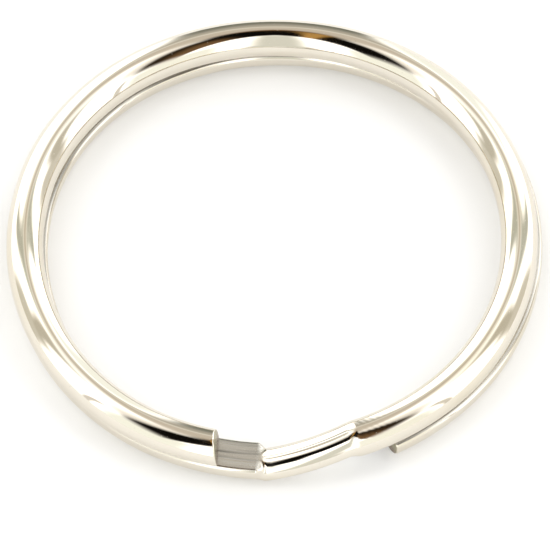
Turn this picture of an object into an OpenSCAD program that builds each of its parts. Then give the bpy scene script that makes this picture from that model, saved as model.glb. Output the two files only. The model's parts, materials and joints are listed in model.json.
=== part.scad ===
// Split key ring: one length of spring wire wound about two turns, with a stepped
// crossover at the front that takes it from the lower coil up to the upper coil.
// The wire is drawn as the named lengths that twist against each other when it is
// sprung open. Angles are azimuths about the ring's axis: 0 is +X, 90 is +Y.

/* [Ring] */
// Overall width of the ring
ring_d = 30; // [24:0.5:40]
// How far the upper coil lies to the -X side of the lower coil
coil_offset = 0.24; // [0:0.02:0.4]

/* [Wire] */
// Radial width of the wire
wire_w = 2.08; // [1.6:0.02:2.2]
// Height of one coil of the wire
wire_h = 1.5; // [1.44:0.02:1.9]
// Rounding along the edges of the flat that rests on the other coil
edge_r = 0.26; // [0.14:0.02:0.3]
// Clearance between the two coils at rest
coil_gap = 0.02; // [0.02:0.01:0.1]

/* [Turns] */
// Azimuth of the upper coil's free end
upper_end_a = 256.8; // [250:0.1:260]
// Azimuth of the crossover's foot, where it leaves the lower coil
foot_a = 265.2; // [263:0.1:268]
// Azimuth of the crossover's top, where it joins the upper coil
top_a = 290; // [284:0.1:292]
// Azimuth of the lower coil's free end
lower_end_a = 297; // [295:0.1:302]
// Number of lengths that each coil is drawn as
coil_parts = 9; // [6:1:12]

/* [Crossover] */
// Angle of the bend where the wire leaves the lower coil
foot_bend_a = 3.5; // [3:0.5:16]
// Angle of the bend where the wire joins the upper coil
top_bend_a = 2.5; // [2:0.5:6]
// Angle in which the pressed flat at each end runs out into the oval wire
press_a = 3; // [2:0.5:5]
// Width of the oval wire between the coils
oval_w = 1.96; // [1.8:0.02:2.1]
// Height at which the oval is widest
oval_widest_h = 0.56; // [0.46:0.02:0.76]
// Points around the crossover's section
section_points = 32; // [24:4:40]
// Azimuth step between the crossover's sections
section_step_a = 1; // [0.5:0.5:2]

/* [Hidden] */
coil_r = (ring_d - coil_offset - wire_w) / 2;
mid_z = wire_h + coil_gap / 2;
coil_rise = wire_h + coil_gap;
round_r = wire_w / 2;
upper_sweep_a = upper_end_a + 360 - top_a;
lower_sweep_a = foot_a + 360 - lower_end_a;
upper_part_a = upper_sweep_a / coil_parts;
lower_part_a = lower_sweep_a / coil_parts;
foot_share = foot_bend_a / (top_a - foot_a);
top_share = top_bend_a / (top_a - foot_a);
press_share = press_a / (top_a - foot_a);
climb_slope = 1 / (1 - (foot_share + top_share) / 2);

function coil_names(coil) = [
    for (i = [1 : coil_parts]) i < coil_parts ? str(coil, "_coil_", i) : str(coil, "_free_end")
];
upper_names = coil_names("upper");
lower_names = coil_names("lower");

$fn = 96;

// Wire section of the upper coil: its flat lies on y = 0 and its round side is up
module wire_section() {
    intersection() {
        translate([0, wire_h - round_r])
            circle(r = round_r);
        translate([-round_r, wire_h - round_r])
            square([wire_w, round_r]);
    }
    translate([-round_r, edge_r])
        square([wire_w, wire_h - round_r - edge_r]);
    translate([edge_r - round_r, 0])
        square([wire_w - 2 * edge_r, wire_h - round_r]);
    for (side = [-1, 1])
        translate([side * (round_r - edge_r), edge_r])
            circle(r = edge_r);
}

// One length of the upper coil, from azimuth start_a through sweep_a
module upper_arc(start_a, sweep_a) {
    translate([-coil_offset / 2, 0, mid_z + coil_gap / 2])
        rotate([0, 0, start_a])
            rotate_extrude(angle = sweep_a)
                translate([coil_r, 0])
                    wire_section();
}

// One length of the lower coil: the same wire, upside down
module lower_arc(start_a, sweep_a) {
    translate([coil_offset / 2, 0, mid_z - coil_gap / 2])
        rotate([0, 0, start_a])
            rotate_extrude(angle = sweep_a)
                translate([coil_r, 0])
                    mirror([0, 1])
                        wire_section();
}

// Upper coil, counted from the crossover round to the free end
module upper_length(i) {
    color("gainsboro")
        upper_arc(top_a + i * upper_part_a, upper_part_a);
}

// Lower coil, counted from the crossover round to the free end
module lower_length(i) {
    color("silver")
        lower_arc(foot_a - (i + 1) * lower_part_a, lower_part_a);
}

// Half width of the wire section at height y above its flat
function half_width(y) =
    y < edge_r ? round_r - edge_r + sqrt(edge_r * edge_r - (edge_r - y) * (edge_r - y))
    : y < wire_h - round_r ? round_r
    : sqrt(max(0, round_r * round_r - (y - wire_h + round_r) * (y - wire_h + round_r)));

// Half width at height y of the rounder section that the wire keeps on the crossover
function oval_half_width(y) =
    let (reach = y < oval_widest_h ? oval_widest_h : wire_h - oval_widest_h)
    oval_w / 2 * sqrt(max(0, 1 - pow((y - oval_widest_h) / reach, 2)));

// Smooth step from 0 to 1 as t goes from 0 to 1
function smooth(t) = let (s = min(1, max(0, t))) s * s * (3 - 2 * s);

// Climb from 0 to 1: a bend at the foot, a straight stretch and a bend at the top
function climb(t) =
    t < foot_share ? climb_slope * t * t / (2 * foot_share)
    : t > 1 - top_share ? 1 - climb_slope * (1 - t) * (1 - t) / (2 * top_share)
    : climb_slope * (t - foot_share / 2);

// Section point at turn a: the lower coil's shape at the foot, the upper coil's at the top,
// and the oval in between
function section_point(a, t) =
    let (
        y = wire_h * (1 - cos(a)) / 2,
        side = a < 180 ? 1 : -1,
        lower_share = 1 - smooth(t / press_share),
        upper_share = 1 - smooth((1 - t) / press_share),
        oval_share = 1 - lower_share - upper_share,
        half = upper_share * half_width(y) + lower_share * half_width(wire_h - y)
            + oval_share * oval_half_width(y)
    )
    [side * half, y];

function section_ring(t) = [
    for (k = [0 : section_points - 1])
        let (
            p = section_point(360 * k / section_points, t),
            a = foot_a + (top_a - foot_a) * t,
            r = coil_r + p[0],
            risen = climb(t)
        )
        [r * cos(a) + coil_offset * (0.5 - risen), r * sin(a), p[1] + coil_rise * risen]
];

// Stretch of the crossover from azimuth a0 to azimuth a1
module crossover_stretch(a0, a1) {
    steps = ceil((a1 - a0) / section_step_a);
    n = section_points;
    rings = [
        for (s = [0 : steps])
            section_ring((a0 + (a1 - a0) * s / steps - foot_a) / (top_a - foot_a))
    ];
    sides = [
        for (s = [0 : steps - 1], k = [0 : n - 1])
            [s * n + k, s * n + (k + 1) % n, (s + 1) * n + (k + 1) % n, (s + 1) * n + k]
    ];
    start_cap = [for (k = [0 : n - 1]) n - 1 - k];
    end_cap = [for (k = [0 : n - 1]) steps * n + k];
    polyhedron(points = [for (ring = rings) each ring], faces = concat([start_cap], sides, [end_cap]));
}

// Bend where the wire leaves the lower coil
module crossover_foot() {
    color("lightgray")
        crossover_stretch(foot_a, foot_a + foot_bend_a);
}

// Straight climbing stretch between the two bends
module crossover_ramp() {
    color("whitesmoke")
        crossover_stretch(foot_a + foot_bend_a, top_a - top_bend_a);
}

// Bend where the wire joins the upper coil
module crossover_top() {
    color("lightgray")
        crossover_stretch(top_a - top_bend_a, top_a);
}

crossover_foot();
crossover_ramp();
crossover_top();
for (i = [0 : coil_parts - 1])
    upper_length(i);
for (i = [0 : coil_parts - 1])
    lower_length(i);
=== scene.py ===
"""Split key ring: the wire's bright nickel surface, built length by length around the CAD frame."""
import json
import math
from types import SimpleNamespace

import bpy
import numpy as np
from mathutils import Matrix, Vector


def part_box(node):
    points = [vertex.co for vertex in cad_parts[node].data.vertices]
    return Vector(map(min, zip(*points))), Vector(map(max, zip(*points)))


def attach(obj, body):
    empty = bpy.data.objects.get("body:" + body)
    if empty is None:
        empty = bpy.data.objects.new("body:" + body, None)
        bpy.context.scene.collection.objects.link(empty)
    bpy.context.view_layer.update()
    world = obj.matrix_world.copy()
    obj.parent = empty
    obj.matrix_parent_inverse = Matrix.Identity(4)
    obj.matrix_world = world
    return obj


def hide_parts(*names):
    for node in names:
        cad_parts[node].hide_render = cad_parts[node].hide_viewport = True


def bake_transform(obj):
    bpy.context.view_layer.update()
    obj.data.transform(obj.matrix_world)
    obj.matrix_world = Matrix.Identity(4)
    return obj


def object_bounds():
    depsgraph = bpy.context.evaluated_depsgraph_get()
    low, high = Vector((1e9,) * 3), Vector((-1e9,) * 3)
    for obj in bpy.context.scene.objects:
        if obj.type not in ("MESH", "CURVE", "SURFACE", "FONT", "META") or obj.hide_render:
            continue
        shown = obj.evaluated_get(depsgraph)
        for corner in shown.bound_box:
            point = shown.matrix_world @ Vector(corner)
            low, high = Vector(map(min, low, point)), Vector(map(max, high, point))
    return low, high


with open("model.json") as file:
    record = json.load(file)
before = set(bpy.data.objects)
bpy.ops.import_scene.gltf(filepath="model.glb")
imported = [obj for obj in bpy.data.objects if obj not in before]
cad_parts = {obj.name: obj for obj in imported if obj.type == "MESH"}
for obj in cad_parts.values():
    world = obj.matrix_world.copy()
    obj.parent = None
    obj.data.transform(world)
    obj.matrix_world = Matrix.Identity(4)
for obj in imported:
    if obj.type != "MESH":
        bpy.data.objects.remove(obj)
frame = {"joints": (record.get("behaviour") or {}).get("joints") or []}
cad_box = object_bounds()
MM = 0.001
CM = 0.01
COILS = ("upper", "lower")

# ---------------------------------------------------------------- sizes, worked out from the frame
HINGES = {joint["name"]: Vector(joint["pos_m"]) for joint in frame["joints"]}
node_box = {coil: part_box(f"{coil}_coil_1") for coil in COILS}
base_z = {coil: node_box[coil][0].z for coil in COILS}
coil_h = node_box["upper"][1].z - base_z["upper"]
rise = base_z["upper"] - base_z["lower"]     # what the crossover climbs
cad_size = cad_box[1] - cad_box[0]
outer_r = cad_box[1].y                       # both coils reach this far at the back
# the upper coil lies a little to the -X side of the lower one, so the ring is wider in X than in Y
shift_x = {"upper": outer_r - cad_size.x / 2, "lower": cad_size.x / 2 - outer_r}


def azimuth(coil, point):
    """Azimuth of a point about a coil's own centre."""
    return math.degrees(math.atan2(point.y, point.x - shift_x[coil])) % 360


def coil_hinges(coil):
    """Azimuths of a coil's hinges, in order from the crossover to the free end."""
    count = sum(name.startswith(coil) for name in HINGES)
    return [azimuth(coil, HINGES[f"{coil}_coil_twist_{i}"]) for i in range(1, count + 1)]


first_hinge = HINGES["upper_coil_twist_1"]
coil_r = math.hypot(first_hinge.x - shift_x["upper"], first_hinge.y)
round_r = outer_r - coil_r                   # radius of the wire's round side, half its width
hinge_a = {coil: coil_hinges(coil) for coil in COILS}
top_a, foot_a = hinge_a["upper"][0], hinge_a["lower"][0]
parts = len(hinge_a["upper"])
# angle of one length: the upper coil runs anticlockwise from the crossover, the lower one clockwise
length_a = {
    "upper": (hinge_a["upper"][1] - top_a) % 360,
    "lower": -((foot_a - hinge_a["lower"][1]) % 360),
}

# ---------------------------------------------------------------- the wire's own small shapes
EDGE_R = 0.26 * MM       # rounding along the edges of the pressed flats
CUT_R = 0.11 * MM        # rounding round the rim of a sheared end
CUT_SKEW_A = 0.8         # slant of the upper end's cut: angle gained from its middle to its outer side
CUT_LEAN_A = 1.0         # angle by which the cut leans back from the flat up to the round side
CUT_REACH = 0.12         # share of the last length over which the wire takes up the slant of its end
CUT_FACE = (0.25, 0.4, 0.55, 0.7)            # how far in from the rim the rings on a cut face lie
FOOT_BEND_A = 3.5        # the bend where the wire leaves the lower coil
TOP_BEND_A = 2.5         # the bend where it joins the upper coil
OVAL_HALF_W = 0.98 * MM  # half width of the oval wire between the coils
OVAL_WIDEST = 0.56 * MM  # height at which the oval is widest
PRESS_A = {"lower": 2.4, "upper": 3.4}       # angle in which a flat runs out into the oval wire
PINCH = {"lower": 0.02, "upper": 0.008}      # how much the tool has drawn the wire in at each bend
PINCH_PAST_A = {"lower": 1.4, "upper": 1.2}  # how far up the crossover from the bend such a mark is
PINCH_A = 0.9            # half angle of such a mark
TOOLED_BEFORE_A = 2      # angle before the upper bend in which the marks of the tool's jaws set in
TOOLED_A = 10            # angle past the upper bend over which the tool's jaws have marked the wire
STEP_A = 0.6             # angle between two rings of the mesh
ROUND_POINTS, CORNER_POINTS, FLAT_POINTS = 46, 9, 9
QUARTER_POINTS = 8       # rings round the rim of a cut end
OVAL_POINTS = 360
FINER = 8                # how much finer a coil's outline is before it is moved to the shared turns


def smooth(t):
    """Smooth step from 0 to 1 as t goes from 0 to 1."""
    t = np.clip(t, 0, 1)
    return t * t * (3 - 2 * t)


def arc(centre_x, centre_y, radius, start, end, count):
    """Points along an arc, from one angle to another in degrees."""
    turns = np.radians(np.linspace(start, end, count))
    return np.stack([centre_x + radius * np.cos(turns), centre_y + radius * np.sin(turns)], axis=1)


def coil_outline(coil, finer=1):
    """A coil's section as (across, height) points, anticlockwise: half round, short sides and a flat."""
    flat = round_r - EDGE_R
    flat_x = np.linspace(-flat, flat, FLAT_POINTS * finer)
    outline = np.vstack([
        np.stack([flat_x, np.zeros_like(flat_x)], axis=1)[:-1],
        arc(flat, EDGE_R, EDGE_R, -90, 0, CORNER_POINTS * finer),
        arc(0, coil_h - round_r, round_r, 0, 180, ROUND_POINTS * finer),
        arc(-flat, EDGE_R, EDGE_R, 180, 270, CORNER_POINTS * finer)[:-1],
    ])
    if coil == "lower":
        outline = (outline * [1, -1] + [0, coil_h])[::-1]
    return outline


def turns_of(outline):
    """Angle of each outline point, seen from the section's middle."""
    return np.arctan2(outline[:, 1] - coil_h / 2, outline[:, 0])


OUTLINE = {coil: coil_outline(coil) for coil in COILS}
CROSS_TURNS = np.unique(np.round(np.concatenate([turns_of(o) for o in OUTLINE.values()]), 3))


def at_turns(outline, turns):
    """The same outline with its points moved to the given turns."""
    own = turns_of(outline)
    order = np.argsort(own)
    own, points = own[order], outline[order]
    own = np.concatenate([[own[-1] - 2 * math.pi], own, [own[0] + 2 * math.pi]])
    points = np.vstack([points[-1:], points, points[:1]])
    return np.stack([np.interp(turns, own, points[:, k]) for k in (0, 1)], axis=1)


def oval_outline(turns):
    """The rounder section that the wire keeps where no coil presses on it."""
    around = np.linspace(0, 2 * math.pi, OVAL_POINTS, endpoint=False)
    reach = np.where(around < math.pi, coil_h - OVAL_WIDEST, OVAL_WIDEST)
    outline = np.stack([OVAL_HALF_W * np.cos(around), OVAL_WIDEST + reach * np.sin(around)], axis=1)
    return at_turns(outline, turns)


CROSS_OUTLINE = {coil: at_turns(coil_outline(coil, finer=FINER), CROSS_TURNS) for coil in COILS}
CROSS_OVAL = oval_outline(CROSS_TURNS)


def climb(t):
    """Share climbed at share t of the crossover: a bend, a straight stretch and another bend."""
    foot, top = FOOT_BEND_A / (top_a - foot_a), TOP_BEND_A / (top_a - foot_a)
    slope = 1 / (1 - (foot + top) / 2)
    if t < foot:
        return slope * t * t / (2 * foot)
    if t > 1 - top:
        return 1 - slope * (1 - t) * (1 - t) / (2 * top)
    return slope * (t - foot / 2)


def wander(a):
    """How far outside a true circle the wire lies at azimuth a: a wound ring is a bit out of round."""
    t = np.radians(a)
    out_of_round = 0.09 * np.cos(t - 2.2) + 0.11 * np.cos(2 * t - 1.2) + 0.035 * np.cos(3 * t - 1.0)
    ripple = 0.038 * np.cos(4 * t + 2.9) + 0.004 * np.sin(13 * t + 4.0)
    return (out_of_round + ripple - 0.02) * MM


def pinch(coil, a):
    """How much the section is drawn in at azimuth a by the marks of the bending tool."""
    mark_a = foot_a + PINCH_PAST_A["lower"] if coil == "lower" else top_a - PINCH_PAST_A["upper"]
    away = (a - mark_a + 180) % 360 - 180
    return PINCH[coil] * np.exp(-(away / PINCH_A) ** 2)


def place(section, a, z, centre_x):
    """Section points set at azimuth a, z above the floor; a may be one angle for each point."""
    t = np.radians(a)
    reach = coil_r + wander(a) + section[:, 0]
    x, y = reach * np.cos(t), reach * np.sin(t)
    return np.stack([centre_x + x, y + np.zeros_like(x), z + section[:, 1]], axis=1)


def drawn_in(section, share):
    """The section scaled by 1 - share towards its middle."""
    middle = np.array([0, coil_h / 2])
    return middle + (section - middle) * (1 - share)


def inset(section, depth):
    """The section drawn in by depth all round."""
    side = np.roll(section, -1, axis=0) - np.roll(section, 1, axis=0)
    normal = np.stack([side[:, 1], -side[:, 0]], axis=1)
    return section - normal / np.linalg.norm(normal, axis=1)[:, None] * depth


# ---------------------------------------------------------------- mesh building
def ring_normals(rings, before, after):
    """Surface normals at the rings' points; before and after are the wire's rings past its two ends."""
    around = np.roll(rings, -1, axis=1) - np.roll(rings, 1, axis=1)
    strip = np.concatenate([before[None], rings, after[None]])
    along = strip[2:] - strip[:-2]
    normals = np.cross(along, around)
    outward = np.sign((normals[0] * (rings[0] - rings[0].mean(axis=0))).sum())
    return normals * outward / np.maximum(np.linalg.norm(normals, axis=2, keepdims=True), 1e-15)


def loft(name, rings, normals, straight, marks):
    """A closed tube through the rings, with a flat face at each end.

    straight holds each point's place on the wire if it were pulled straight, in cm (along, across,
    height), and marks holds other values to store on the points."""
    count, size = rings.shape[:2]
    faces = [tuple(range(size)), tuple(range(count * size - 1, (count - 1) * size - 1, -1))]
    for r in range(count - 1):
        for k in range(size):
            n = (k + 1) % size
            faces.append((r * size + k, (r + 1) * size + k, (r + 1) * size + n, r * size + n))
    if np.dot(np.cross(rings[1, 0] - rings[0, 0], rings[0, 1] - rings[0, 0]), normals[0, 0]) < 0:
        faces = [face[::-1] for face in faces]
    mesh = bpy.data.meshes.new(name)
    mesh.from_pydata(rings.reshape(-1, 3).tolist(), [], faces)
    mesh.polygons.foreach_set("use_smooth", [True] * len(faces))
    layer = mesh.attributes.new("straight", "FLOAT_VECTOR", "POINT")
    layer.data.foreach_set("vector", np.asarray(straight, dtype=np.float32).ravel())
    for mark, values in marks.items():
        layer = mesh.attributes.new(mark, "FLOAT", "POINT")
        layer.data.foreach_set("value", np.asarray(values, dtype=np.float32).ravel())
    if mesh.validate():
        print("mesh repaired:", name)
    corner_normals = normals.reshape(-1, 3)[[corner.vertex_index for corner in mesh.loops]]
    for end in mesh.polygons[:2]:
        corner_normals[end.loop_start:end.loop_start + end.loop_total] = end.normal
    mesh.normals_split_custom_set(corner_normals.tolist())
    piece = bpy.data.objects.new(name, mesh)
    bpy.context.scene.collection.objects.link(piece)
    return piece


def straight_points(section, distance):
    """Where a section's points are on the straight wire, in cm."""
    return np.column_stack([np.full(len(section), distance), section]) / CM


def rubbed_share(section, coil):
    """1 on the flat that rests on the other coil, fading out round its edges."""
    height = section[:, 1] if coil == "upper" else coil_h - section[:, 1]
    return 1 - smooth(height / (0.4 * EDGE_R))


def tooled_share(a, size):
    """How much the bending tool's jaws have marked the wire at azimuth a, for each point of a ring."""
    past = (a - top_a + 180) % 360 - 180
    share = smooth((past + TOOLED_BEFORE_A) / TOOLED_BEFORE_A)
    share = share * (1 - smooth((past - 0.4 * TOOLED_A) / (0.6 * TOOLED_A)))
    return np.full(size, share)


def along_wire(a):
    """Distance along the wire from the crossover's foot to azimuth a, in metres; a isn't wrapped."""
    return math.radians(a - foot_a) * coil_r


def slanted(section, a, share):
    """Azimuth of each section point near the upper coil's free end, where the slanted cut sets in."""
    taken_up = smooth((share - 1 + CUT_REACH) / CUT_REACH)
    slant = CUT_SKEW_A * section[:, 0] / round_r - CUT_LEAN_A * (section[:, 1] / coil_h - 0.5)
    return a + taken_up * slant


def ring_places(sweep, steps, last):
    """Shares of a length at which its rings stand, and how far each is drawn in to close a cut end."""
    shares = list(np.linspace(0, 1, steps + 1))
    if not last:
        return shares, [0.0] * len(shares)
    whole = math.radians(abs(sweep)) * coil_r
    quarter = np.radians(np.linspace(0, 90, QUARTER_POINTS))
    shares = [share for share in shares if (1 - share) * whole > 1.5 * CUT_R]
    draws = [0.0] * len(shares) + list(CUT_R * (1 - np.cos(quarter)))
    shares += list(1 - CUT_R * (1 - np.sin(quarter)) / whole)
    draws += [share * round_r for share in CUT_FACE]
    shares += [1.0] * len(CUT_FACE)
    return shares, draws


def coil_ring(coil, i, share, draw=0.0):
    """Ring of length i of a coil at a share of its run, and the section that it has there."""
    a = hinge_a[coil][i] + share * length_a[coil]
    section = OUTLINE[coil]
    section = inset(section, draw) if draw <= CUT_R else drawn_in(section, draw / round_r)
    section = drawn_in(section, pinch(coil, a))
    slants = coil == "upper" and i == parts - 1
    return place(section, slanted(section, a, share) if slants else a, base_z[coil], shift_x[coil]), section


def coil_length(coil, i):
    """Length i of a coil, from its hinge to the next one or to the free end."""
    outline, sweep = OUTLINE[coil], length_a[coil]
    # counted on from the crossover, so that the surface's pattern runs on from length to length
    counted = hinge_a[coil][0] + i * sweep
    last = i == parts - 1
    steps = math.ceil(abs(sweep) / STEP_A)
    rings, straight, rubbed, cut, tooled = [], [], [], [], []
    for share, draw in zip(*ring_places(sweep, steps, last)):
        points, section = coil_ring(coil, i, share, draw)
        on_face = smooth((draw - 0.15 * CUT_R) / (0.5 * CUT_R))
        a = hinge_a[coil][i] + share * sweep
        rings.append(points)
        straight.append(straight_points(section, along_wire(counted + share * sweep)))
        rubbed.append(rubbed_share(outline, coil) * (1 - on_face))
        cut.append(np.full(len(outline), on_face))
        tooled.append(tooled_share(a if coil == "upper" else 0, len(outline)))
    rings = np.array(rings)
    before = coil_ring(coil, i, -1 / steps)[0]
    after = rings[-1] * 2 - rings[-2] if last else coil_ring(coil, i, 1 + 1 / steps)[0]
    name = f"{coil}_wire_end" if last else f"{coil}_wire_{i + 1}"
    marks = {"rubbed": rubbed, "cut": cut, "tooled": tooled}
    return loft(name, rings, ring_normals(rings, before, after), straight, marks)


def crossover_ring(a):
    """Ring of the crossover at azimuth a, its section and how much of it is pressed flat."""
    share = min(1, max(0, (a - foot_a) / (top_a - foot_a)))
    low_share = 1 - smooth((a - foot_a) / PRESS_A["lower"])
    up_share = 1 - smooth((top_a - a) / PRESS_A["upper"])
    section = low_share * CROSS_OUTLINE["lower"] + up_share * CROSS_OUTLINE["upper"]
    section = section + (1 - low_share - up_share) * CROSS_OVAL
    section = drawn_in(section, pinch("lower", a) + pinch("upper", a))
    risen = climb(share)
    centre_x = shift_x["lower"] + (shift_x["upper"] - shift_x["lower"]) * risen
    rubbed = low_share * rubbed_share(CROSS_OUTLINE["lower"], "lower")
    rubbed = rubbed + up_share * rubbed_share(CROSS_OUTLINE["upper"], "upper")
    return place(section, a, base_z["lower"] + rise * risen, centre_x), section, rubbed


def crossover_stretch(name, start, end):
    """Stretch of the crossover from azimuth start to azimuth end."""
    step = STEP_A / 2
    turns = np.linspace(start, end, round((end - start) / step) + 1)
    rings, straight, rubbed, tooled = [], [], [], []
    for a in turns:
        points, section, flat = crossover_ring(a)
        rings.append(points)
        straight.append(straight_points(section, along_wire(a)))
        rubbed.append(flat)
        tooled.append(tooled_share(a, len(section)))
    rings = np.array(rings)
    normals = ring_normals(rings, crossover_ring(start - step)[0], crossover_ring(end + step)[0])
    marks = {"rubbed": rubbed, "cut": np.zeros_like(rubbed), "tooled": tooled}
    return loft(name, rings, normals, straight, marks)


def build_crossover():
    """The stretch of wire that takes the lower coil up to the upper one: a bend, a ramp and a bend."""
    made = []
    edges = [foot_a, foot_a + FOOT_BEND_A, top_a - TOP_BEND_A, top_a]
    for node, start, end in zip(("foot", "ramp", "top"), edges, edges[1:]):
        piece = crossover_stretch(f"{node}_wire", start, end)
        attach(piece, "crossover")
        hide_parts(f"crossover_{node}")
        made.append(piece)
    return made


def build_coils():
    """The coils' lengths, each from its hinge to the next one or to the free end, in place of its CAD part.
    """
    made = []
    for coil in COILS:
        for i in range(parts):
            piece = coil_length(coil, i)
            node = f"{coil}_coil_{i + 1}" if i < parts - 1 else f"{coil}_free_end"
            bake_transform(piece)
            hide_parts(node)
            made.append(piece)
    return made


# ---------------------------------------------------------------- node helpers
def add(tree, kind, inputs=None, **settings):
    """A node with its settings; inputs maps a socket to a value or to another node's output."""
    node = tree.nodes.new(kind)
    for key, value in settings.items():
        setattr(node, key, value)
    for socket, value in (inputs or {}).items():
        if isinstance(value, bpy.types.NodeSocket):
            tree.links.new(value, node.inputs[socket])
        else:
            node.inputs[socket].default_value = value
    return node


def calc(tree, operation, *values):
    """The result of one maths step; a value may be a number or another node's output."""
    return add(tree, "ShaderNodeMath", dict(enumerate(values)), operation=operation).outputs[0]


def ramp(tree, value, low, high, to_low=0.0, to_high=1.0):
    """A smooth step of value between low and high."""
    inputs = {"Value": value, "From Min": low, "From Max": high, "To Min": to_low, "To Max": to_high}
    return add(tree, "ShaderNodeMapRange", inputs, interpolation_type="SMOOTHSTEP").outputs[0]


def mix(tree, share, first, second):
    """A colour between first and second; the numbers are the mix node's own colour sockets."""
    return add(tree, "ShaderNodeMix", {0: share, 6: first, 7: second}, data_type="RGBA").outputs[2]


def mapped(tree, coords, **values):
    """The coordinates after a Mapping node with the given Location, Rotation or Scale."""
    return add(tree, "ShaderNodeMapping", {"Vector": coords, **values}).outputs[0]


def attribute(tree, name, output="Fac"):
    """A value that loft stored on the points."""
    return add(tree, "ShaderNodeAttribute", attribute_name=name).outputs[output]


def noise(tree, coords, scale, detail=2.0, roughness=0.5, stretch=(1, 1, 1), offset=(0, 0, 0)):
    """Noise with scale features to the centimetre across the wire; stretch slows it along an axis."""
    moved = mapped(tree, coords, Location=offset, Scale=stretch)
    inputs = {"Vector": moved, "Scale": scale, "Detail": detail, "Roughness": roughness}
    return add(tree, "ShaderNodeTexNoise", inputs).outputs["Fac"]


# ---------------------------------------------------------------- materials
NICKEL = (0.75, 0.70, 0.61, 1)
WARM_NICKEL = (0.71, 0.64, 0.51, 1)
DULL_NICKEL = (0.52, 0.50, 0.46, 1)
SCORED_NICKEL = (0.13, 0.125, 0.11, 1)
SHEARED_STEEL = (0.33, 0.29, 0.17, 1)
TORN_STEEL = (0.24, 0.175, 0.12, 1)
PIT_BROWN = (0.30, 0.26, 0.20, 1)
WIRE_CM, COIL_CM = 2 * round_r / CM, coil_h / CM
MICRON = 1e-6
ALONG = (0.012, 1, 1)    # stretch of the lines that drawing and rubbing leave along the wire
RIDGE_A = 35             # slant of the ridges that the bending tool's jaws left


def wire_patterns(tree):
    """The places and patterns that the plate's colour, roughness and relief share."""
    wire = SimpleNamespace(coords=attribute(tree, "straight", "Vector"))
    wire.rubbed, wire.cut, wire.tooled = (attribute(tree, mark) for mark in ("rubbed", "cut", "tooled"))
    wire.across, wire.height = add(tree, "ShaderNodeSeparateXYZ", {0: wire.coords}).outputs[1:]
    rub_lines = noise(tree, wire.coords, scale=130, detail=3, roughness=0.6, stretch=ALONG)
    wire.rub_tone = ramp(tree, rub_lines, 0.25, 0.75)
    draw_lines = noise(
        tree, wire.coords, scale=210, detail=2, roughness=0.6, stretch=ALONG, offset=(5, 0, 0))
    wire.draw_lines = ramp(tree, draw_lines, 0.45, 0.85)
    pits = noise(tree, wire.coords, scale=95, detail=1, offset=(3, 1, 2))
    wire.pits = ramp(tree, pits, 0.76, 0.82)
    # the shears cut cleanly through the upper part of the end and tore the rest
    wire.clean = ramp(tree, wire.height, 0.35 * COIL_CM, 0.55 * COIL_CM)
    return wire


def plate_colour(tree, wire):
    """The plate is thin and a little yellow in patches, scored and dull where rubbed, bare at the cut."""
    patches = ramp(tree, noise(tree, wire.coords, scale=3.2, detail=3, stretch=(0.4, 1, 1)), 0.45, 0.72)
    colour = mix(tree, calc(tree, "MULTIPLY", patches, 0.6), NICKEL, WARM_NICKEL)
    scores = noise(tree, wire.coords, scale=26, detail=2, stretch=(0.05, 1, 1), offset=(0, 4, 0))
    scores = ramp(tree, scores, 0.42, 0.68)
    # the flat is scored most along its inner edge
    inner_edge = ramp(tree, wire.across, -0.45 * WIRE_CM, -0.28 * WIRE_CM, 1.0, 0.0)
    scores = calc(tree, "MAXIMUM", scores, inner_edge)
    scores = calc(tree, "MULTIPLY", scores, wire.rub_tone)
    colour = mix(tree, wire.rubbed, colour, mix(tree, scores, DULL_NICKEL, SCORED_NICKEL))
    colour = mix(tree, wire.cut, colour, mix(tree, wire.clean, TORN_STEEL, SHEARED_STEEL))
    return mix(tree, calc(tree, "MULTIPLY", wire.pits, 0.35), colour, PIT_BROWN)


def plate_roughness(tree, wire, tool_marks):
    """Bright plate, rougher along drawing lines, in faint smudges and pits, where rubbed and at the cut."""
    smudge = noise(tree, wire.coords, scale=5.5, detail=4, roughness=0.6, offset=(0, 7, 3))
    smudge = ramp(tree, smudge, 0.5, 0.8)
    rough = calc(tree, "MULTIPLY_ADD", wire.draw_lines, 0.05, 0.045 + 0.04 * tool_marks)
    rough = calc(tree, "MULTIPLY_ADD", smudge, 0.05, rough)
    rubbed = calc(tree, "MULTIPLY_ADD", wire.rub_tone, 0.14, 0.12)
    rough = calc(tree, "MULTIPLY_ADD", wire.rubbed, rubbed, rough)
    rough = calc(tree, "MULTIPLY_ADD", wire.cut, 0.22, rough)
    return calc(tree, "MULTIPLY_ADD", wire.pits, 0.2, rough)


def cut_relief(tree, wire):
    """The shears' tracks on the clean part of the cut, and rough steel where it tore."""
    tracks = noise(tree, wire.coords, scale=60, detail=3, roughness=0.7, stretch=(0.1, 1, 0.15))
    torn = noise(tree, wire.coords, scale=45, detail=5, roughness=0.7)
    torn_depth = calc(tree, "MULTIPLY_ADD", wire.clean, -22 * MICRON, 26 * MICRON)
    relief = calc(tree, "MULTIPLY", torn, torn_depth)
    tracks = calc(tree, "MULTIPLY", tracks, wire.clean)
    relief = calc(tree, "MULTIPLY_ADD", tracks, 5 * MICRON, relief)
    return calc(tree, "MULTIPLY", relief, wire.cut)


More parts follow.
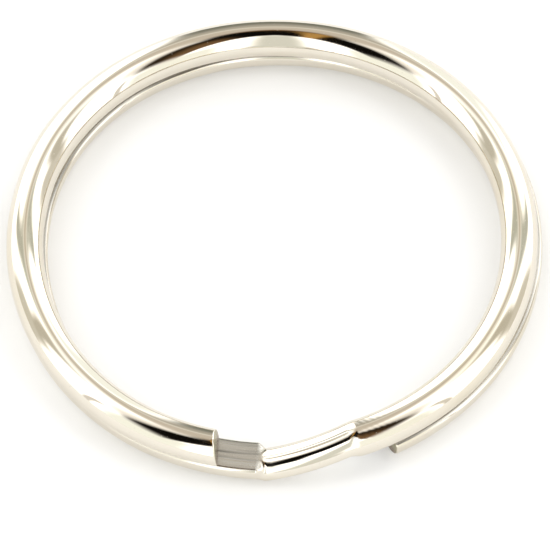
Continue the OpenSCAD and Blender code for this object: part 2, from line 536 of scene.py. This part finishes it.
def plate_relief(tree, wire, tool_marks):
    """Relief in metres: slow waves, orange peel, drawing lines, rubbing, pits, tool ridges and the cut."""
    waves = noise(tree, wire.coords, scale=2.6, detail=2, roughness=0.4, stretch=(0.7, 1.6, 1.6))
    relief = calc(tree, "MULTIPLY", waves, 9 * MICRON)
    peel = noise(tree, wire.coords, scale=26, detail=2, stretch=(0.5, 1, 1))
    relief = calc(tree, "MULTIPLY_ADD", peel, (0.45 + 1.6 * tool_marks) * MICRON, relief)
    relief = calc(tree, "MULTIPLY_ADD", wire.draw_lines, -0.10 * MICRON, relief)
    grooves = calc(tree, "MULTIPLY", wire.rubbed, wire.rub_tone)
    relief = calc(tree, "MULTIPLY_ADD", grooves, -0.5 * MICRON, relief)
    relief = calc(tree, "MULTIPLY_ADD", wire.pits, -2 * MICRON, relief)
    # the bending tool's jaws left fine slanting ridges beside the bend
    slanting = mapped(tree, wire.coords, Rotation=(0, 0, math.radians(RIDGE_A)))
    ridges = {"Vector": slanting, "Scale": 11.0, "Distortion": 1.2}
    ridges = add(tree, "ShaderNodeTexWave", ridges).outputs["Fac"]
    ridges = calc(tree, "MULTIPLY", ridges, wire.tooled)
    relief = calc(tree, "MULTIPLY_ADD", ridges, 0.6 * MICRON, relief)
    return calc(tree, "ADD", cut_relief(tree, wire), relief)


def plated(name, tool_marks):
    """Bright nickel plate on drawn wire; tool_marks is how much the bending tool has dulled it."""
    material = bpy.data.materials.new(name)
    material.use_nodes = True
    tree = material.node_tree
    shader = tree.nodes["Principled BSDF"]
    wire = wire_patterns(tree)
    tree.links.new(plate_colour(tree, wire), shader.inputs["Base Color"])
    tree.links.new(plate_roughness(tree, wire, tool_marks), shader.inputs["Roughness"])
    relief = plate_relief(tree, wire, tool_marks)
    bump = add(tree, "ShaderNodeBump", {"Height": relief, "Strength": 1.0, "Distance": 1.0})
    tree.links.new(bump.outputs["Normal"], shader.inputs["Normal"])
    shader.inputs["Metallic"].default_value = 1
    return material


# ---------------------------------------------------------------- stage, light and camera
VIEW_ELEVATION = 57.4
CAMERA_AWAY = 1.4          # metres; far off, because the real view shows almost no perspective
VIEW_WIDTH = 30.74 * MM    # width of the view at the ring
AIM_BELOW = 1.453 * MM     # how far below the ring's middle the view is centred, in the view's plane
SENSOR_WIDTH = 36          # millimetres, as cameras give it
FLOOR_HALF = 1.0           # metres
FLOOR_WHITE = (0.95, 0.95475, 0.96425, 1)
TENT_WHITE = (2.3, 2.3, 2.3, 1)
ROOF_LEVEL = 0.05          # lowest sine of elevation at which a place in the roof is worked out

# The tent's flat roof, in heights of the roof above the ring: across it, and towards the back
DIM_AT = 0.58                             # middle of the dimmer cloth at the back
BOWED_SEAM_AT, BOWED_SEAM_BOW = 0.60, 0.35
STRAIGHT_SEAM_AT = 0.31
ARCH_SHOULDER = (-2.0, 0.40)              # slope and start of each line that bounds the dark opening
ARCH_OUTER_LEG = (-0.72, 0.19)
ARCH_INNER_LEG = (-0.98, -0.30)
GOLD_SLOPE, GOLD_START = -0.12, 0.08      # slope and start of the golden streak in it

DIM_CLOTH = (1.02, 0.99, 0.90, 1)
BOWED_SEAM = (0.66, 0.68, 0.61, 1)
STRAIGHT_SEAM = (0.70, 0.67, 0.58, 1)
ARCH_RIM = (0.88, 0.82, 0.73, 1)
ARCH_TIP = (0.74, 0.67, 0.58, 1)
ARCH_BLACK = (0.005, 0.004, 0.003, 1)
ARCH_BROWN = (0.21, 0.12, 0.055, 1)
ARCH_GOLD = (0.60, 0.34, 0.10, 1)

# Upright panels and gaps of the light tent that the ring stands in: azimuth, half width and edge
# softness in degrees, lowest and highest elevation in degrees, how softly they end there, and colour
PANELS = [
    (90, 6.5, 5.5, -20, 61, 0.05, (0.58, 0.55, 0.48)),    # gap at the back, darkest low down
    (90, 7.0, 5.5, -20, 28, 0.26, (0.25, 0.26, 0.22)),
    (70, 5, 6, -10, 45, 0.08, (1.25, 1.3, 1.25)),
    (13, 7, 8, -5, 34, 0.12, (0.84, 0.81, 0.73)),
    (168, 7, 8, -5, 34, 0.12, (0.82, 0.80, 0.72)),
    (203, 0.8, 1.6, -20, 40, 0.08, (0.9, 0.86, 0.8)),
    (333, 0.8, 1.6, -20, 40, 0.08, (0.9, 0.86, 0.8)),
    (226, 12, 8, -30, 42, 0.08, (1.26, 1.30, 1.22)),
    (310, 14, 8, -30, 36, 0.08, (1.26, 1.28, 1.20)),
    (268, 9, 7, -40, 8, 0.08, (0.75, 0.72, 0.68)),        # the table's front edge
    (269, 4, 9, -10, 78, 0.08, (0.89, 0.90, 0.83)),
]


def tent_panel(tree, direction, sine, panel, light):
    """The tent's light with one upright panel laid over it."""
    panel_a, half, soft, low, high, fade, colour = panel
    level = (math.cos(math.radians(panel_a)), math.sin(math.radians(panel_a)), 0)
    both = {0: direction, 1: level}
    toward = add(tree, "ShaderNodeVectorMath", both, operation="DOT_PRODUCT").outputs["Value"]
    sine_squared = calc(tree, "MULTIPLY", sine, sine)
    flat = calc(tree, "SQRT", calc(tree, "MAXIMUM", calc(tree, "SUBTRACT", 1.0, sine_squared), 1e-6))
    outside, inside = math.cos(math.radians(half + soft)), math.cos(math.radians(half))
    share = ramp(tree, calc(tree, "DIVIDE", toward, flat), outside, inside)
    low, high = math.sin(math.radians(low)), math.sin(math.radians(high))
    over = ramp(tree, sine, low - fade, low + fade)
    under = ramp(tree, sine, high - fade, high + fade, 1.0, 0.0)
    share = calc(tree, "MULTIPLY", share, calc(tree, "MULTIPLY", over, under))
    return mix(tree, share, light, (*colour, 1))


def line(tree, x, slope, start):
    """Height at x of a straight line."""
    return calc(tree, "MULTIPLY_ADD", x, slope, start)


def roof_places(tree, direction):
    """Where a direction meets the roof: across it, towards the back, and how surely it is overhead."""
    x, y, z = add(tree, "ShaderNodeSeparateXYZ", {0: direction}).outputs
    level = calc(tree, "MAXIMUM", z, ROOF_LEVEL)
    roof = SimpleNamespace(across=calc(tree, "DIVIDE", x, level), back=calc(tree, "DIVIDE", y, level))
    roof.aside = calc(tree, "ABSOLUTE", roof.across)
    roof.squared = calc(tree, "MULTIPLY", roof.across, roof.across)
    roof.overhead = ramp(tree, z, 0.3, 0.5)
    return roof


def roof_cloth(tree, roof, light):
    """The roof's white cloth: dimmer towards the back, with a bowed seam and a straight one nearer."""
    from_middle = calc(tree, "SUBTRACT", roof.back, DIM_AT)
    from_middle = calc(tree, "ADD", roof.squared, calc(tree, "MULTIPLY", from_middle, from_middle))
    dim = ramp(tree, from_middle, 0.02, 0.22, 0.85, 0.0)
    light = mix(tree, calc(tree, "MULTIPLY", dim, roof.overhead), light, DIM_CLOTH)

    off = calc(tree, "SUBTRACT", roof.back, line(tree, roof.squared, BOWED_SEAM_BOW, BOWED_SEAM_AT))
    off = calc(tree, "DIVIDE", calc(tree, "ABSOLUTE", off), line(tree, roof.squared, 0.7, 1.0))
    bowed = ramp(tree, off, 0.03, 0.11, 1.0, 0.0)
    seen = calc(tree, "MULTIPLY", roof.overhead, ramp(tree, roof.aside, 0.04, 0.3))
    light = mix(tree, calc(tree, "MULTIPLY", bowed, seen), light, BOWED_SEAM)

    off = calc(tree, "ABSOLUTE", calc(tree, "SUBTRACT", roof.back, STRAIGHT_SEAM_AT))
    straight = ramp(tree, off, 0.06, 0.20, 1.0, 0.0)
    straight = calc(tree, "MULTIPLY", straight, ramp(tree, roof.aside, 0.15, 0.6))
    return mix(tree, calc(tree, "MULTIPLY", straight, roof.overhead), light, STRAIGHT_SEAM)


def opening_colour(tree, roof, above_inner):
    """What shows in the opening: black, with a brown right leg, a brown tip and a golden streak."""
    brown = ramp(tree, roof.across, 0.08, 0.25)
    brown = calc(tree, "MULTIPLY", brown, ramp(tree, above_inner, 0.45, 0.15, 0.15, 1.0))
    brown = calc(tree, "MAXIMUM", brown, ramp(tree, roof.back, 0.14, 0.3))
    colour = mix(tree, brown, ARCH_BLACK, ARCH_BROWN)
    streak = line(tree, roof.back, GOLD_SLOPE, calc(tree, "ADD", roof.across, GOLD_START))
    gold = ramp(tree, calc(tree, "ABSOLUTE", streak), 0.012, 0.04, 1.0, 0.0)
    gold = calc(tree, "MULTIPLY", gold, ramp(tree, roof.back, 0.3, 0.1))
    return mix(tree, gold, colour, ARCH_GOLD)


def roof_opening(tree, roof, light):
    """The dark arched opening in the roof; round it the cloth is dimmer, most of all above its tip."""
    shoulder, leg = (line(tree, roof.aside, *edge) for edge in (ARCH_SHOULDER, ARCH_OUTER_LEG))
    outer = calc(tree, "MAXIMUM", shoulder, leg)
    below_outer = calc(tree, "SUBTRACT", outer, roof.back)
    above_inner = calc(tree, "SUBTRACT", roof.back, line(tree, roof.aside, *ARCH_INNER_LEG))
    within_inner = ramp(tree, above_inner, -0.07, 0.07)

    rim = ramp(tree, below_outer, -0.24, -0.04)
    rim = calc(tree, "MULTIPLY", rim, ramp(tree, roof.aside, 0.5, 1.1, 0.75, 0.0))
    rim = calc(tree, "MULTIPLY", rim, within_inner)
    light = mix(tree, calc(tree, "MULTIPLY", rim, roof.overhead), light, ARCH_RIM)
    tip = ramp(tree, below_outer, -0.5, -0.25)
    tip = calc(tree, "MULTIPLY", tip, ramp(tree, roof.aside, 0.06, 0.24, 1.0, 0.0))
    tip = calc(tree, "MULTIPLY", tip, ramp(tree, roof.back, 0.0, 0.2))
    light = mix(tree, tip, light, ARCH_TIP)

    share = calc(tree, "MULTIPLY", ramp(tree, below_outer, -0.05, 0.12), within_inner)
    legs = calc(tree, "MULTIPLY", roof.overhead, ramp(tree, roof.aside, 0.55, 1.25, 1.0, 0.0))
    share = calc(tree, "MULTIPLY", share, legs)
    return mix(tree, share, light, opening_colour(tree, roof, above_inner))


def surroundings():
    """A white light tent, bright all round but for its panels, its gaps and the opening in its roof."""
    world = bpy.data.worlds.new("tent")
    bpy.context.scene.world = world
    world.use_nodes = True
    tree = world.node_tree
    direction = add(tree, "ShaderNodeTexCoord").outputs["Generated"]
    sine = add(tree, "ShaderNodeSeparateXYZ", {0: direction}).outputs["Z"]
    light = TENT_WHITE
    for panel in PANELS:
        light = tent_panel(tree, direction, sine, panel, light)
    roof = roof_places(tree, direction)
    light = roof_opening(tree, roof, roof_cloth(tree, roof, light))
    tree.links.new(light, tree.nodes["Background"].inputs["Color"])
    tree.nodes["Background"].inputs["Strength"].default_value = 1


def floor():
    """The plain white surface that the ring lies on."""
    corners = [(x * FLOOR_HALF, y * FLOOR_HALF, 0) for x, y in ((-1, -1), (1, -1), (1, 1), (-1, 1))]
    mesh = bpy.data.meshes.new("floor")
    mesh.from_pydata(corners, [], [(0, 1, 2, 3)])
    plane = bpy.data.objects.new("floor", mesh)
    bpy.context.scene.collection.objects.link(plane)
    material = bpy.data.materials.new("floor_white")
    material.use_nodes = True
    shader = material.node_tree.nodes["Principled BSDF"]
    shader.inputs["Base Color"].default_value = FLOOR_WHITE
    shader.inputs["Roughness"].default_value = 0.9
    shader.inputs["Specular IOR Level"].default_value = 0.1
    mesh.materials.append(material)


def camera():
    """A long lens that looks down at the ring from the front."""
    data = bpy.data.cameras.new("camera")
    eye = bpy.data.objects.new("camera", data)
    bpy.context.scene.collection.objects.link(eye)
    e = math.radians(VIEW_ELEVATION)
    back = Vector((0, -math.cos(e), math.sin(e)))
    up = Vector((0, math.sin(e), math.cos(e)))
    middle = Vector((0, 0, (cad_box[0].z + cad_box[1].z) / 2))
    aim = middle - up * AIM_BELOW
    eye.location = aim + back * CAMERA_AWAY
    eye.rotation_mode = "QUATERNION"
    eye.rotation_quaternion = (-back).to_track_quat("-Z", "Y")
    data.sensor_width = SENSOR_WIDTH
    data.lens = SENSOR_WIDTH * CAMERA_AWAY / VIEW_WIDTH
    data.clip_start, data.clip_end = 0.01, 20
    bpy.context.scene.camera = eye


# ---------------------------------------------------------------- the scene
camera()
crossover_pieces = build_crossover()
coil_pieces = build_coils()
bright, pressed = plated("bright_nickel", 0.0), plated("pressed_nickel", 1.0)
for piece in crossover_pieces + coil_pieces:
    at_bend = piece.name in ("foot_wire", "top_wire")
    piece.data.materials.append(pressed if at_bend else bright)
floor()
surroundings()
bpy.context.scene.view_settings.view_transform = "Standard"
